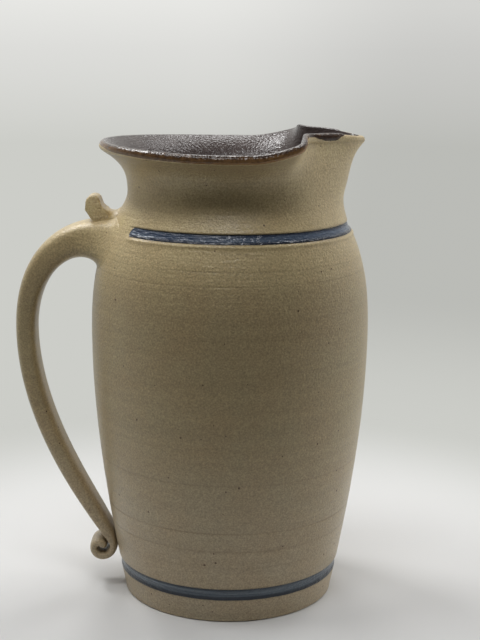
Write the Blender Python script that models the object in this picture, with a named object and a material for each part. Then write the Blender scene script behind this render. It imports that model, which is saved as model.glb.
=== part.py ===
"""Stoneware pitcher.

A wheel-thrown jug with a lip pulled into a spout, a strap handle with a rolled tail, a thumb rest,
two bands of blue slip laid in turned grooves, and a dark glaze lining that comes up over the lip.

Metres, +Z up. The origin is the centre of the foot, on the table. The spout points along +X and the
handle along -X.
"""

import math

import bmesh
import bpy
from mathutils import Matrix, Vector

# Seats: luted clay and laid coats are parted by this much
SEAT_GAP = 0.0003

# Outside of the thrown wall: lengths between stations, and radius and lean (radius per height) there
FOOT_RADIUS = 0.0574
FOOT_LEAN = 0.204
FOOT_BEVEL = 0.0012
FOOT_TO_BELLY = 0.146
BELLY_RADIUS = 0.0750
BELLY_TO_SHOULDER = 0.0586
SHOULDER_RADIUS = 0.0632
SHOULDER_LEAN = -0.53
SHOULDER_TO_NECK = 0.0160
NECK_RADIUS = 0.0553
NECK_TO_RIM = 0.0206
RIM_RADIUS = 0.0688
RIM_LEAN = 1.85

# Thickness of the clay
WALL = 0.0052
LIP = 0.0044
FLOOR = 0.0070
FLOOR_FILLET = 0.0080

# Lip pulled into a spout: how deep the pull reaches, and its plan seen from above
SPOUT_DEPTH = 0.0420
SPOUT_REACH = 0.0673
THROAT_SETBACK = 0.0370
THROAT_HALF_WIDTH = 0.0240
FOLD_SOFTNESS = 0.0060
THROAT_SOFTNESS = 0.0040
SPOUT_BULGE = 0.0070
SPOUT_BULGE_SPREAD = math.radians(24)
SPOUT_BULGE_SKEW = 1.2
SPOUT_BULGE_POWER = 1.4
SPOUT_PINCH_POWER = 2.5

# Height of the lip over the height that it was thrown to
SPOUT_LIFT = 0.0060
SPOUT_LIFT_FULL = math.radians(54)
SPOUT_LIFT_END = math.radians(82)
EDGE_LIFT = 0.0024
EDGE_LIFT_ANGLE = math.radians(26)
EDGE_LIFT_SPREAD = math.radians(13)
HANDLE_LIFT = 0.0023
LIFT_POWER = 1.7

# Bands of blue slip, each lying flush in a groove
GROOVE_DEPTH = 0.0010
GROOVE_EDGE = 0.0003
FOOT_BAND_LOW = 0.0132
FOOT_BAND_HEIGHT = 0.0061
SHOULDER_BAND_DROP = 0.0025
SHOULDER_BAND_HEIGHT = 0.0041
SHOULDER_BAND_STOP = math.radians(32)

# Dark glaze lining
GLAZE = 0.0005

# Strap handle: root on the shoulder, grip, tail on the lower wall
ROOT_DROP = 0.0076
ROOT_BITE = 0.0080
ROOT_RISE = math.radians(8.6)
ROOT_PULL = 0.0370
ROOT_WIDTH = 0.0270
ROOT_UP = 0.0082
ROOT_DOWN = 0.0125
ROOT_TAPER = 1.4
ROOT_FLARE = 0.0100
ROOT_FLARE_BELOW = 0.0050
ROOT_FLARE_LENGTH = 0.0170
GRIP_DROP = 0.0513
GRIP_PULL_UP = 0.0310
GRIP_PULL_DOWN = 0.0584
GRIP_WIDTH = 0.0215
GRIP_THICKNESS = 0.0109
FINGER_GAP = 0.0300
TAIL_PULL = 0.0125
TAIL_WIDTH = 0.0185
TAIL_THICKNESS = 0.0047
TAIL_TAPER = 3.3
STRAP_SQUARENESS = 2.7

# Rolled end of the strap
SCROLL_HEIGHT = 0.0220
SCROLL_START = math.radians(-16)
SCROLL_END = math.radians(325)
SCROLL_RADIUS = 0.0069
SCROLL_END_RADIUS = 0.0023
SCROLL_END_THICKNESS = 0.0042

# Thumb rest, a tongue of clay standing on the root of the handle
THUMB_WIDTH = 0.0190
THUMB_TIP_WIDTH = 0.0140
THUMB_FOOT = 0.0096
THUMB_OVERHANG = 0.0050
THUMB_OVERHANG_RISE = 0.0054
THUMB_TIP_RADIUS = 0.0040
THUMB_TIP_SETBACK = 0.0103
THUMB_TIP_RISE = 0.0092
THUMB_TIP_START = math.radians(-5)
THUMB_TIP_END = math.radians(145)
THUMB_SEAT_RADIUS = 0.0085
THUMB_SEAT_SETBACK = -0.0008
THUMB_SEAT_RISE = 0.0131
THUMB_SEAT_START = math.radians(-40)
THUMB_SEAT_END = math.radians(-115)
THUMB_DROOP = 0.85
THUMB_DROOP_POWER = 4
THUMB_DROOP_LENGTH = 0.0040
THUMB_EDGE = 0.0014

# Facets
COLUMNS = 64
COLUMN_GATHER = 0.40
FOOT_RINGS = 1
BELLY_RINGS = 9
NECK_RINGS = 9
LIP_RINGS = 6
GLAZE_LIP_RING = 2
INNER_NECK_RINGS = 7
INNER_BELLY_RINGS = 6
FILLET_RINGS = 2
STRAP_SIDES = 16
ARCH_RINGS = 12
ROOT_CROWDING = 1.5
BACK_RINGS = 14
SCROLL_RINGS = 15
SEAT_RINGS = 5
TIP_RINGS = 4
THUMB_FOOT_RINGS = 3
THUMB_TIP_RINGS = 6
THUMB_SEAT_RINGS = 6
THUMB_SLICES = 8
SMOOTH_ANGLE = math.radians(40)
MERGE_DISTANCE = 1e-6

# Heights and places worked out from the sizes
BELLY_HEIGHT = FOOT_TO_BELLY
SHOULDER_HEIGHT = BELLY_HEIGHT + BELLY_TO_SHOULDER
NECK_HEIGHT = SHOULDER_HEIGHT + SHOULDER_TO_NECK
RIM_HEIGHT = NECK_HEIGHT + NECK_TO_RIM
STATIONS = (
    (0.0, FOOT_RADIUS, FOOT_LEAN),
    (BELLY_HEIGHT, BELLY_RADIUS, 0.0),
    (SHOULDER_HEIGHT, SHOULDER_RADIUS, SHOULDER_LEAN),
    (NECK_HEIGHT, NECK_RADIUS, 0.0),
    (RIM_HEIGHT, RIM_RADIUS, RIM_LEAN),
)
FOOT_BAND = (FOOT_BAND_LOW, FOOT_BAND_LOW + FOOT_BAND_HEIGHT)
SHOULDER_BAND_LOW = SHOULDER_HEIGHT - SHOULDER_BAND_DROP
SHOULDER_BAND = (SHOULDER_BAND_LOW, SHOULDER_BAND_LOW + SHOULDER_BAND_HEIGHT)


def mix(start, end, share):
    """The value at a share of the way from start to end."""
    return start + (end - start) * share


def ease(share):
    """A share from 0 to 1 that starts and stops gently."""
    share = min(max(share, 0.0), 1.0)
    return share * share * (3.0 - 2.0 * share)


def soft_min(a, b, softness):
    """The smaller of two lengths, with the corner between them rounded."""
    overlap = max(softness - abs(a - b), 0.0) / softness
    return min(a, b) - overlap * overlap * softness / 4.0


def soft_max(a, b, softness):
    """The larger of two lengths, with the corner between them rounded."""
    return -soft_min(-a, -b, softness)


def span(start, end, steps):
    """Evenly spaced values after start, up to and with end."""
    return [mix(start, end, step / steps) for step in range(1, steps + 1)]


def wall_station(height):
    """Outside radius and lean of the thrown wall at a height."""
    below, above = STATIONS[0], STATIONS[1]
    for lower, upper in zip(STATIONS, STATIONS[1:]):
        if height >= lower[0]:
            below, above = lower, upper
    rise = above[0] - below[0]
    t = (height - below[0]) / rise
    step = above[1] - below[1]
    lean_in = below[2] * rise
    lean_out = above[2] * rise
    square = 3.0 * step - 2.0 * lean_in - lean_out
    cube = lean_in + lean_out - 2.0 * step
    radius = below[1] + t * (lean_in + t * (square + t * cube))
    lean = (lean_in + t * (2.0 * square + 3.0 * t * cube)) / rise
    return radius, lean


def wall_radius(height):
    """Outside radius of the thrown wall at a height."""
    return wall_station(height)[0]


def wall_point(height, depth=0.0):
    """Radius and height of the point that lies depth under the outside of the wall."""
    radius, lean = wall_station(height)
    slant = math.hypot(1.0, lean)
    return radius - depth / slant, height + depth * lean / slant


def clay(height):
    """Thickness of the wall, which thins towards the lip."""
    return mix(WALL, LIP, ease((height - NECK_HEIGHT) / NECK_TO_RIM))


def lip_point(turn, cover):
    """Point on the round lip: turn goes from its outside over the top to its inside."""
    slant = math.atan2(RIM_LEAN, 1.0)
    radius, height = wall_point(RIM_HEIGHT, LIP / 2.0)
    reach = LIP / 2.0 + cover
    return radius + reach * math.cos(turn - slant), height + reach * math.sin(turn - slant)


def groove_points(band):
    """The cut of one band's groove, from its lower edge to its upper edge."""
    low, high = band
    return [
        wall_point(low),
        wall_point(low + GROOVE_EDGE, GROOVE_DEPTH),
        wall_point(high - GROOVE_EDGE, GROOVE_DEPTH),
        wall_point(high),
    ]


def outside_profile():
    """The outside of the pot, from the foot up to where the lip starts."""
    points = [(FOOT_RADIUS - FOOT_BEVEL, 0.0), wall_point(FOOT_BEVEL)]
    points += [wall_point(height) for height in span(FOOT_BEVEL, FOOT_BAND[0], FOOT_RINGS + 1)[:-1]]
    points += groove_points(FOOT_BAND)
    points += [wall_point(height) for height in span(FOOT_BAND[1], SHOULDER_BAND[0], BELLY_RINGS)[:-1]]
    points += groove_points(SHOULDER_BAND)
    points += [wall_point(height) for height in span(SHOULDER_BAND[1], RIM_HEIGHT, NECK_RINGS)]
    return points


def lip_profile(cover, first_ring):
    """The lip from the given ring over the top, short of where the inside starts."""
    return [lip_point(math.pi * ring / LIP_RINGS, cover) for ring in range(first_ring, LIP_RINGS)]


def inside_profile(cover):
    """The inside of the pot, or of a coat of that depth on it, from the lip down to the floor."""
    heights = [RIM_HEIGHT] + span(RIM_HEIGHT, SHOULDER_HEIGHT, INNER_NECK_RINGS)
    heights += span(SHOULDER_HEIGHT, FLOOR + FLOOR_FILLET, INNER_BELLY_RINGS)
    points = [wall_point(height, clay(height) + cover) for height in heights]
    level = FLOOR + FLOOR_FILLET
    corner = wall_point(level, WALL + FLOOR_FILLET)[0]
    bend = FLOOR_FILLET - cover
    for turn in span(0.0, math.pi / 2.0, FILLET_RINGS):
        points.append((corner + bend * math.cos(turn), level - bend * math.sin(turn)))
    return points


def mouth_radius(angle):
    """Plan of the lip: the thrown round, folded in on both sides of a beak that ends in the spout."""
    crest = lip_point(math.pi / 2.0 + math.atan2(RIM_LEAN, 1.0), 0.0)[0]
    if abs(angle) >= math.pi / 2.0:
        return crest, crest
    folded = soft_min(crest, THROAT_SETBACK / math.cos(angle), FOLD_SOFTNESS)
    curve = (SPOUT_REACH - THROAT_SETBACK) / THROAT_HALF_WIDTH ** 2 * math.sin(angle) ** 2
    root = math.sqrt(math.cos(angle) ** 2 + 4.0 * curve * SPOUT_REACH)
    beak = 2.0 * SPOUT_REACH / (math.cos(angle) + root)
    return soft_max(folded, beak, THROAT_SOFTNESS), crest


def lip_lift(angle):
    """How far the crest of the lip stands over its thrown height."""
    turn = abs(angle)
    spout = SPOUT_LIFT * ease((SPOUT_LIFT_END - turn) / (SPOUT_LIFT_END - SPOUT_LIFT_FULL))
    edge = EDGE_LIFT * math.exp(-((turn - EDGE_LIFT_ANGLE) / EDGE_LIFT_SPREAD) ** 2)
    handle = HANDLE_LIFT * ease((turn - math.pi / 2.0) / (math.pi / 2.0))
    return spout + edge + handle


def pull_spout(point):
    """Carry a point of the thrown round to where it lies once the lip is pulled."""
    crest = lip_point(math.pi / 2.0 + math.atan2(RIM_LEAN, 1.0), 0.0)[1]
    rise = (point.z - crest + SPOUT_DEPTH) / SPOUT_DEPTH
    if rise <= 0.0:
        return
    angle = math.atan2(point.y, point.x)
    radius = math.hypot(point.x, point.y)
    mouth, thrown = mouth_radius(angle)
    swell = math.sin(math.pi * min(rise, 1.0) ** SPOUT_BULGE_SKEW)
    bulge = SPOUT_BULGE * max(swell, 0.0) ** SPOUT_BULGE_POWER
    pulled = radius + (mouth - thrown) * rise ** SPOUT_PINCH_POWER
    pulled += bulge * math.exp(-(angle / SPOUT_BULGE_SPREAD) ** 2)
    point.x = pulled * math.cos(angle)
    point.y = pulled * math.sin(angle)
    point.z += lip_lift(angle) * rise ** LIFT_POWER


def gather(point):
    """Turn a point round the axis so that the columns of facets stand closer at the spout."""
    column = math.atan2(point.y, point.x)
    angle = column - COLUMN_GATHER * math.sin(column)
    radius = math.hypot(point.x, point.y)
    point.x = radius * math.cos(angle)
    point.y = radius * math.sin(angle)


def column_of(angle):
    """The whole number of columns, counted from the spout, that come nearest to an angle."""
    column = angle
    for _ in range(COLUMNS):
        column = angle + COLUMN_GATHER * math.sin(column)
    return round(column / math.tau * COLUMNS)


def new_piece(name, builder, material):
    """Make one object from a bmesh, shaded smooth across its gentle edges."""
    bmesh.ops.remove_doubles(builder, verts=builder.verts, dist=MERGE_DISTANCE)
    bmesh.ops.recalc_face_normals(builder, faces=builder.faces)
    mesh = bpy.data.meshes.new(name)
    builder.to_mesh(mesh)
    builder.free()
    mesh.shade_smooth()
    mesh.set_sharp_from_angle(angle=SMOOTH_ANGLE)
    mesh.materials.append(material)
    piece = bpy.data.objects.new(name, mesh)
    bpy.context.collection.objects.link(piece)
    return piece


def new_material(name, colour, roughness):
    """A plain fired surface."""
    material = bpy.data.materials.new(name)
    material.use_nodes = True
    shader = material.node_tree.nodes["Principled BSDF"]
    shader.inputs["Base Color"].default_value = (*colour, 1.0)
    shader.inputs["Roughness"].default_value = roughness
    shader.inputs["Metallic"].default_value = 0.0
    return material


def turn_profile(profile, columns, closed_profile):
    """Spin a profile of (radius, height) points about the axis, over the given columns each way."""
    builder = bmesh.new()
    half_angle = math.tau * columns / COLUMNS
    wire = [builder.verts.new((radius, 0.0, height)) for radius, height in profile]
    pairs = list(zip(wire, wire[1:]))
    if closed_profile:
        pairs.append((wire[-1], wire[0]))
    edges = [builder.edges.new(pair) for pair in pairs]
    whole = columns * 2 == COLUMNS
    if not whole:
        bmesh.ops.rotate(builder, verts=wire, cent=(0, 0, 0), matrix=turn_matrix(-half_angle))
        bmesh.ops.contextual_create(builder, geom=edges)
    bmesh.ops.spin(
        builder,
        geom=builder.verts[:] + builder.edges[:] + builder.faces[:],
        cent=(0.0, 0.0, 0.0),
        axis=(0.0, 0.0, 1.0),
        angle=2.0 * half_angle,
        steps=columns * 2,
        use_merge=whole,
    )
    return builder


def turn_matrix(angle):
    """Rotation about the axis of the pot."""
    return Matrix.Rotation(angle, 3, "Z")


def close_ends(builder):
    """Fill each open ring with one flat face."""
    rim = [edge for edge in builder.edges if edge.is_boundary]
    bmesh.ops.edgeloop_fill(builder, edges=rim)


def settle(builder):
    """Gather the columns and pull the lip, for all that lies on the thrown wall.

    Each facet is parted along its shorter diagonal, so that a coat bends just as its wall does.
    """
    for vert in builder.verts:
        gather(vert.co)
        pull_spout(vert.co)
    facets = [face for face in builder.faces if len(face.verts) == 4]
    bmesh.ops.triangulate(builder, faces=facets, quad_method="SHORT_EDGE")


def make_thrown_body(material):
    """Foot, belly, shoulder, neck and lip, thrown in one piece."""
    profile = outside_profile() + lip_profile(0.0, 1) + inside_profile(0.0)
    builder = turn_profile(profile, COLUMNS // 2, False)
    close_ends(builder)
    settle(builder)
    return new_piece("thrown_body", builder, material)


def make_liner_glaze(material):
    """Dark glaze on the whole inside, brought over the lip."""
    under = lip_profile(SEAT_GAP, GLAZE_LIP_RING) + inside_profile(SEAT_GAP)
    over = lip_profile(SEAT_GAP + GLAZE, GLAZE_LIP_RING) + inside_profile(SEAT_GAP + GLAZE)
    builder = turn_profile(under[::-1] + over, COLUMNS // 2, False)
    close_ends(builder)
    settle(builder)
    return new_piece("liner_glaze", builder, material)


def make_band(name, band, columns, material):
    """Slip that fills one groove, flush with the wall."""
    low, high = band
    profile = [
        wall_point(low + GROOVE_EDGE + SEAT_GAP, GROOVE_DEPTH - SEAT_GAP),
        wall_point(high - GROOVE_EDGE - SEAT_GAP, GROOVE_DEPTH - SEAT_GAP),
        wall_point(high - GROOVE_EDGE - SEAT_GAP),
        wall_point(low + GROOVE_EDGE + SEAT_GAP),
    ]
    builder = turn_profile(profile, columns, True)
    settle(builder)
    return new_piece(name, builder, material)


def bezier(points, t):
    """Point and direction on a cubic curve."""
    a, b, c, d = points
    s = 1.0 - t
    place = a * s ** 3 + b * (3.0 * s * s * t) + c * (3.0 * s * t * t) + d * t ** 3
    along = (b - a) * (s * s) + (c - b) * (2.0 * s * t) + (d - c) * (t * t)
    return place, along.normalized()


def scroll_point(turn):
    """Point and direction on the rolled end, which winds out from the wall, down, up and in."""
    share = (turn - SCROLL_START) / (SCROLL_END - SCROLL_START)
    radius = mix(SCROLL_RADIUS, SCROLL_END_RADIUS, share)
    tighten = (SCROLL_END_RADIUS - SCROLL_RADIUS) / (SCROLL_END - SCROLL_START)
    outward = Vector((math.cos(turn), 0.0, -math.sin(turn)))
    onward = Vector((-math.sin(turn), 0.0, -math.cos(turn)))
    wall_side = wall_radius(SCROLL_HEIGHT) + SEAT_GAP + TAIL_THICKNESS / 2.0
    centre = Vector((-wall_side - SCROLL_RADIUS, 0.0, SCROLL_HEIGHT))
    return centre + outward * radius, (onward * radius + outward * tighten).normalized()


def handle_sections():
    """Sections along the strap: place, direction, half width, thickness to its two faces, and flare."""
    root_height = SHOULDER_HEIGHT - ROOT_DROP
    root = Vector((-wall_radius(root_height) + ROOT_BITE, 0.0, root_height))
    leave = Vector((-math.cos(ROOT_RISE), 0.0, math.sin(ROOT_RISE)))
    reach = BELLY_RADIUS + FINGER_GAP + GRIP_THICKNESS / 2.0
    grip = Vector((-reach, 0.0, root_height - GRIP_DROP))
    up = Vector((0.0, 0.0, 1.0))
    tail, tail_along = scroll_point(SCROLL_START)
    arch = (root, root + leave * ROOT_PULL, grip + up * GRIP_PULL_UP, grip)
    back = (grip, grip - up * GRIP_PULL_DOWN, tail - tail_along * TAIL_PULL, tail)
    sections = []
    for share in [0.0] + span(0.0, 1.0, ARCH_RINGS):
        t = share ** ROOT_CROWDING
        place, along = bezier(arch, t)
        thick = (1.0 - t) ** ROOT_TAPER
        half_width = mix(GRIP_WIDTH, ROOT_WIDTH, thick) / 2.0
        to_back = mix(GRIP_THICKNESS / 2.0, ROOT_UP, thick)
        to_palm = mix(GRIP_THICKNESS / 2.0, ROOT_DOWN, thick)
        sections.append((place, along, half_width, to_back, to_palm, 1.0))
    for t in span(0.0, 1.0, BACK_RINGS):
        place, along = bezier(back, t)
        half_width = mix(GRIP_WIDTH, TAIL_WIDTH, t) / 2.0
        half = mix(GRIP_THICKNESS, TAIL_THICKNESS, t ** TAIL_TAPER) / 2.0
        sections.append((place, along, half_width, half, half, 0.0))
    for turn in span(SCROLL_START, SCROLL_END, SCROLL_RINGS):
        place, along = scroll_point(turn)
        share = (turn - SCROLL_START) / (SCROLL_END - SCROLL_START)
        half = mix(TAIL_THICKNESS, SCROLL_END_THICKNESS, share) / 2.0
        sections.append((place, along, TAIL_WIDTH / 2.0, half, half, 0.0))
    return sections


def soft_corner(value):
    """One side of a circle's outline drawn out towards a square."""
    return math.copysign(abs(value) ** (2.0 / STRAP_SQUARENESS), value)


def strap_ring(section, size=1.0):
    """Soft-cornered outline of the strap at one section, spread at the sides and below near the wall."""
    place, along, half_width, to_back, to_palm, flare = section
    back = Vector((along.z, 0.0, -along.x))
    ring = []
    for side in range(STRAP_SIDES):
        turn = math.tau * side / STRAP_SIDES
        across = soft_corner(math.cos(turn))
        out = soft_corner(math.sin(turn))
        depth = to_back if out > 0.0 else to_palm
        edge = place + Vector((0.0, across * half_width, 0.0)) + back * (out * depth)
        clearance = math.hypot(edge.x, edge.y) - wall_radius(edge.z)
        nearness = flare * min(max(1.0 - clearance / ROOT_FLARE_LENGTH, 0.0), 1.0) ** 2
        spread = Vector((0.0, across * ROOT_FLARE, 0.0)) + back * (min(out, 0.0) * ROOT_FLARE_BELOW)
        ring.append(place + (edge - place + spread * nearness) * size)
    return ring


def loft(rings):
    """Skin a row of rings, extruded one from the other, and close both ends."""
    builder = bmesh.new()
    row = [builder.verts.new(place) for place in rings[0]]
    edges = [builder.edges.new(pair) for pair in zip(row, row[1:] + row[:1])]
    for ring in rings[1:]:
        grown = bmesh.ops.extrude_edge_only(builder, edges=edges)["geom"]
        edges = [item for item in grown if isinstance(item, bmesh.types.BMEdge) and item.is_boundary]
        follow = dict(row_links(row, grown))
        row = [follow[vert] for vert in row]
        for vert, place in zip(row, ring):
            vert.co = place
    close_ends(builder)
    return builder


def row_links(row, grown):
    """Pairs of a ring's vertex and the vertex that was extruded from it."""
    fresh = {item for item in grown if isinstance(item, bmesh.types.BMVert)}
    for vert in row:
        for edge in vert.link_edges:
            if edge.other_vert(vert) in fresh:
                yield vert, edge.other_vert(vert)


def press_on_wall(builder):
    """Push what would lie in the wall out to its seat on the wall."""
    for vert in builder.verts:
        radius = math.hypot(vert.co.x, vert.co.y)
        seat = wall_radius(vert.co.z) + SEAT_GAP
        if radius < seat:
            vert.co.x *= seat / radius
            vert.co.y *= seat / radius


def make_handle(material):
    """Pulled strap, luted to the shoulder and to the lower wall, with its end rolled up."""
    sections = handle_sections()
    seat = [strap_ring(sections[0], size) for size in span(0.0, 1.0, SEAT_RINGS)]
    body = [strap_ring(section) for section in sections[1:]]
    last = sections[-1]
    tip = []
    for turn in span(0.0, math.pi / 2.0, TIP_RINGS)[:-1]:
        place = last[0] + last[1] * (last[3] * math.sin(turn))
        tip.append(strap_ring((place, *last[1:]), math.cos(turn)))
    builder = loft(seat + body + tip)
    press_on_wall(builder)
    return new_piece("handle", builder, material)


def strap_top(distance, across):
    """Height of the back of the strap, near the root, at a distance from the axis and across."""
    crest = []
    for section in handle_sections()[:ARCH_RINGS]:
        back = strap_ring(section)[:STRAP_SIDES // 2 + 1]
        place = back[0]
        for one, other in zip(back, back[1:]):
            if other.y <= across <= one.y:
                place = one.lerp(other, (one.y - across) / (one.y - other.y))
        crest.append(place)
    for near, far in zip(crest, crest[1:]):
        if -near.x <= distance <= -far.x:
            return mix(near.z, far.z, (distance + near.x) / (near.x - far.x))
    return crest[0].z


def thumb_slice(across):
    """Side outline of the thumb rest at a share of its half width: distance from the axis, and height."""
    corner = wall_radius(SHOULDER_HEIGHT - ROOT_DROP + ROOT_UP)
    level = strap_top(corner, 0.0) + SEAT_GAP
    outline = []
    inside = corner + THUMB_SEAT_SETBACK + THUMB_SEAT_RADIUS * math.cos(THUMB_SEAT_END)
    for distance in [inside] + span(corner, corner + THUMB_FOOT, THUMB_FOOT_RINGS):
        outline.append((distance, strap_top(distance, across * THUMB_WIDTH / 2.0) + SEAT_GAP))
    heel = corner + THUMB_FOOT
    outline.append((heel + THUMB_OVERHANG, strap_top(heel, 0.0) + SEAT_GAP + THUMB_OVERHANG_RISE))
    for turn in span(THUMB_TIP_START, THUMB_TIP_END, THUMB_TIP_RINGS):
        distance = corner + THUMB_TIP_SETBACK + THUMB_TIP_RADIUS * math.cos(turn)
        outline.append((distance, level + THUMB_TIP_RISE + THUMB_TIP_RADIUS * math.sin(turn)))
    for turn in [THUMB_SEAT_START] + span(THUMB_SEAT_START, THUMB_SEAT_END, THUMB_SEAT_RINGS):
        distance = THUMB_SEAT_SETBACK + THUMB_SEAT_RADIUS * math.cos(turn)
        rise = THUMB_SEAT_RISE + THUMB_SEAT_RADIUS * math.sin(turn)
        droop = THUMB_DROOP * across ** THUMB_DROOP_POWER * (1.0 - ease(distance / THUMB_DROOP_LENGTH))
        outline.append((corner + distance, level + rise * (1.0 - droop)))
    return outline


def make_thumb_rest(material):
    """Tongue of clay that leans back over the root of the handle, narrower at its tip."""
    half = THUMB_WIDTH / 2.0
    slim = THUMB_TIP_WIDTH / THUMB_WIDTH
    soft = THUMB_EDGE / half
    shares = [-1.0, soft - 1.0] + span(soft - 1.0, 1.0 - soft, THUMB_SLICES) + [1.0]
    low = strap_top(wall_radius(SHOULDER_HEIGHT), 0.0)
    rings = []
    for across in shares:
        outline = [Vector(point) for point in thumb_slice(across)]
        middle = sum(outline, Vector((0.0, 0.0))) / len(outline)
        inset = THUMB_EDGE if abs(across) == 1.0 else 0.0
        ring = []
        for point in outline:
            arm = point - middle
            arm *= 1.0 - inset / max(arm.length, inset * 2.0, THUMB_EDGE)
            distance, height = middle + arm
            width = half * mix(1.0, slim, ease((height - low) / (THUMB_TIP_RISE + THUMB_TIP_RADIUS)))
            ring.append(Vector((-distance, across * width, height)))
        rings.append(ring)
    builder = loft(rings)
    press_on_wall(builder)
    return new_piece("thumb_rest", builder, material)


def main():
    """Clear the scene and make every piece."""
    for old in list(bpy.data.objects):
        bpy.data.objects.remove(old, do_unlink=True)
    stoneware = new_material("salt_glazed_stoneware", (0.33, 0.28, 0.20), 0.55)
    strap = new_material("handle_stoneware", (0.33, 0.28, 0.20), 0.55)
    tongue = new_material("thumb_rest_stoneware", (0.34, 0.29, 0.21), 0.55)
    slip_glaze = new_material("dark_slip_glaze", (0.045, 0.038, 0.034), 0.22)
    blue_low = new_material("foot_blue_slip", (0.045, 0.075, 0.145), 0.35)
    blue_high = new_material("shoulder_blue_slip", (0.045, 0.075, 0.145), 0.35)
    make_thrown_body(stoneware)
    make_liner_glaze(slip_glaze)
    make_band("foot_band", FOOT_BAND, COLUMNS // 2, blue_low)
    make_band("shoulder_band", SHOULDER_BAND, column_of(math.pi - SHOULDER_BAND_STOP), blue_high)
    make_handle(strap)
    make_thumb_rest(tongue)


main()
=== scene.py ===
"""Stoneware pitcher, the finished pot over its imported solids.

A wheel-thrown, salt-glazed jug: the lip is pulled into a spout, a strap handle with a rolled tail and a
thumb rest is luted on, two bands of blue slip lie in turned grooves, and a dark slip glaze lines the
inside and runs over the lip.

Metres, +Z up. The origin is the centre of the foot, the spout points along +X, the handle along -X.
"""

import math

import bmesh
import bpy
from mathutils import Matrix, Vector, noise


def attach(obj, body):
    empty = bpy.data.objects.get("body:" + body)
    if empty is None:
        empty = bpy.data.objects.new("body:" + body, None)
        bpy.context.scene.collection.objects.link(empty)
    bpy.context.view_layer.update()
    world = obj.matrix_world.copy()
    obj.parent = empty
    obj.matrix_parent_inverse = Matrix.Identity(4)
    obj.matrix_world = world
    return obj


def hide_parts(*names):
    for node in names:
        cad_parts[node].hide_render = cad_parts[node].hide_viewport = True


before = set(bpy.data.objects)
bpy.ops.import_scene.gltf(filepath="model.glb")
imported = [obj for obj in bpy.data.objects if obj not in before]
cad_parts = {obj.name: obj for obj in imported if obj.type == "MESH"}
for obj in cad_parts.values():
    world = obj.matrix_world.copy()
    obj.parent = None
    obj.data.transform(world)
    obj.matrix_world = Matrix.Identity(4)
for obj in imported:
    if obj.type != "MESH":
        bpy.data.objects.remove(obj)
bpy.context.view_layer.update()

# Outside of the thrown wall: height, radius and lean (radius per height) at each station
FOOT_RADIUS = 0.0574
FOOT_BEVEL = 0.0012
BELLY_RADIUS = 0.0750
SHOULDER_HEIGHT = 0.2046
NECK_HEIGHT = 0.2206
RIM_HEIGHT = 0.2412
RIM_LEAN = 1.85
STATIONS = (
    (0.0, FOOT_RADIUS, 0.204),
    (0.146, BELLY_RADIUS, 0.0),
    (SHOULDER_HEIGHT, 0.0632, -0.53),
    (NECK_HEIGHT, 0.0553, 0.0),
    (RIM_HEIGHT, 0.0688, RIM_LEAN),
)

# Thickness of the clay
WALL = 0.0052
LIP = 0.0044
FLOOR = 0.0070
FLOOR_FILLET = 0.0080

# Lip pulled into a spout
SPOUT_DEPTH = 0.0379
SPOUT_REACH = 0.0700
SPOUT_POINT = 0.0737
SPOUT_ROUND = 0.0120
THROAT_SETBACK = 0.0370
THROAT_HALF_WIDTH = 0.0320
FOLD_SOFTNESS = 0.0100
THROAT_SOFTNESS = 0.0090
SPOUT_BULGE = 0.0067
SPOUT_BULGE_SPREAD = math.radians(24)
SPOUT_BULGE_SKEW = 1.5
SPOUT_PINCH_FROM = 0.33
SPOUT_PINCH_POWER = 3.0
SPOUT_LIFT = 0.0081
SPOUT_LIFT_FULL = math.radians(42)
SPOUT_LIFT_END = math.radians(82)
TIP_DROP = 0.0022
TIP_DROP_SPREAD = math.radians(13)
FOLD_LIFT = 0.0005
FOLD_ANGLE = math.radians(46)
FOLD_SPREAD = math.radians(8)
HANDLE_LIFT = 0.0023
LIFT_POWER = 1.7
LIP_WAVER = 0.00022

# Bands of blue slip: each lies in a shallow turned groove with a steep upper side and a long lower slope,
# and the upper one stops short of the handle
FOOT_BAND = (0.0132, 0.0195)
SHOULDER_BAND = (0.2017, 0.2066)
GROOVE_DEPTH = 0.0010
GROOVE_SOFT = 0.0006
GROOVE_SLOPE = 0.0030
SLIP = 0.00022
SLIP_SEAT = 0.00003
BAND_STOP_LOW = math.radians(36.0)
BAND_STOP_HIGH = math.radians(37.5)
BAND_CORNER = math.radians(1.5)
GROOVE_FADE = math.radians(5.0)
BAND_WAVER = 0.00012

# Marks of the wheel: a bead under the upper band, lines left by the rib, and the faint rings of the fingers
BEAD_HEIGHT = 0.2003
BEAD_RISE = 0.00055
BEAD_WIDTH = 0.0009
RIB_LINES = (
    (0.0323, 0.00010),
    (0.0417, 0.00020),
    (0.0522, 0.00022),
    (0.0792, 0.00016),
    (0.1817, 0.00010),
    (0.1888, 0.00010),
    (0.1986, 0.00003),
)
BAND_LINE = 0.8
BAND_LINE_WIDTH = 0.0005
RIB_LINE_WIDTH = 0.00042
RIB_LINE_WANDER = 0.0005
FINGER_RING = 0.00006
FINGER_RING_SPACING = 0.0062
MARKS_FADE = 0.01

# Dark glaze lining: its seat, its depth, and where over the lip it ends, as turn of the lip for each
# angle from the spout
GLAZE_SEAT = 0.00004
GLAZE = 0.0006
GLAZE_EDGE = (
    (0, 180), (11, 172), (15, 100), (20, 34), (26, 32), (31, 60), (36, 90), (42, 90),
    (50, 60), (58, 22), (100, 20), (125, 32), (145, 46), (165, 84), (180, 104),
)
GLAZE_THIN_TURN = math.radians(50)
LIP_BROWN_END = math.radians(165)
LIP_BROWN_FADE = math.radians(40)
RUST_TURN = math.radians(95)
RUST_START = math.radians(40)
RUST_FADE = math.radians(14)
FAR_RUST = 0.5
FAR_RUST_START = math.radians(86)
FAR_RUST_FADE = math.radians(36)
# Iron-brown tint on the clay below the lip, which also stands in as painted shade under the flared rim: its
# reach down the wall, and the angle from the spout where it starts and fades in
STAIN_AND_SHADE_REACH = 0.0110
STAIN_AND_SHADE_START = math.radians(50)
STAIN_AND_SHADE_FADE = math.radians(12)

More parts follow.
